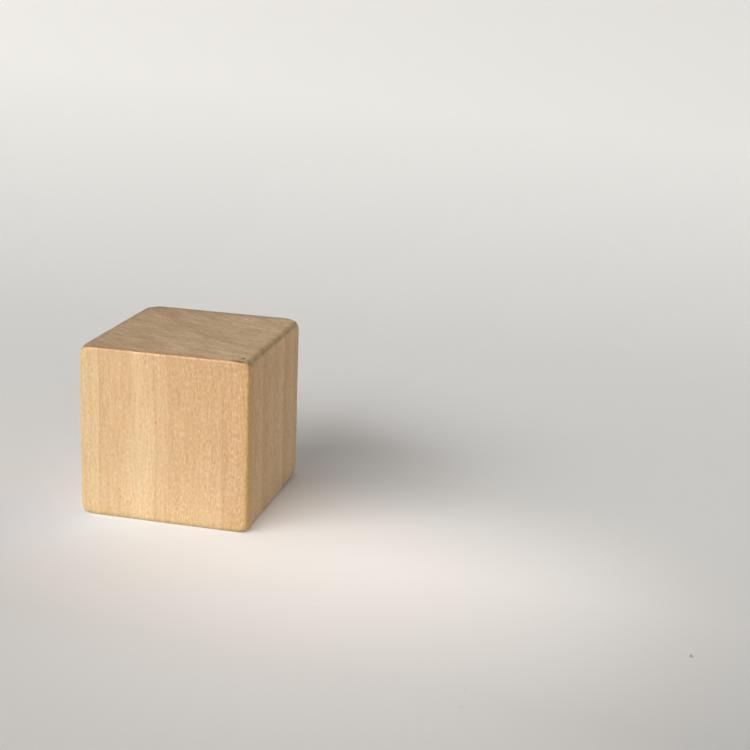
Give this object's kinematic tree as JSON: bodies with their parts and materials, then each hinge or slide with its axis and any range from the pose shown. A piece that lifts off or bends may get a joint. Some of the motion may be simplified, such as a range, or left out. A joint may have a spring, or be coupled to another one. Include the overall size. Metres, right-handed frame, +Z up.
{
  "type": "wooden cube",
  "caption": "Plain solid wooden cube with flat faces and sanded edges and corners, for stacking, spacing, counting or propping things up on a bench or desk.",
  "frame": {"origin": "centre of the underside, which is the face that the cube rests on", "axes": "+Z up along the grain, out of the end-grain top face; +X to the right along the front face; the front face looks along -Y"},
  "size_m": [0.03, 0.03, 0.03],
  "materials": {
    "wood": "bare sanded pale wood, matt, upright grain with broad light and tan growth bands, darker end grain on the top and underside"
  },
  "bodies": {
    "root": {"cube": "wood"}
  },
  "joints": []
}
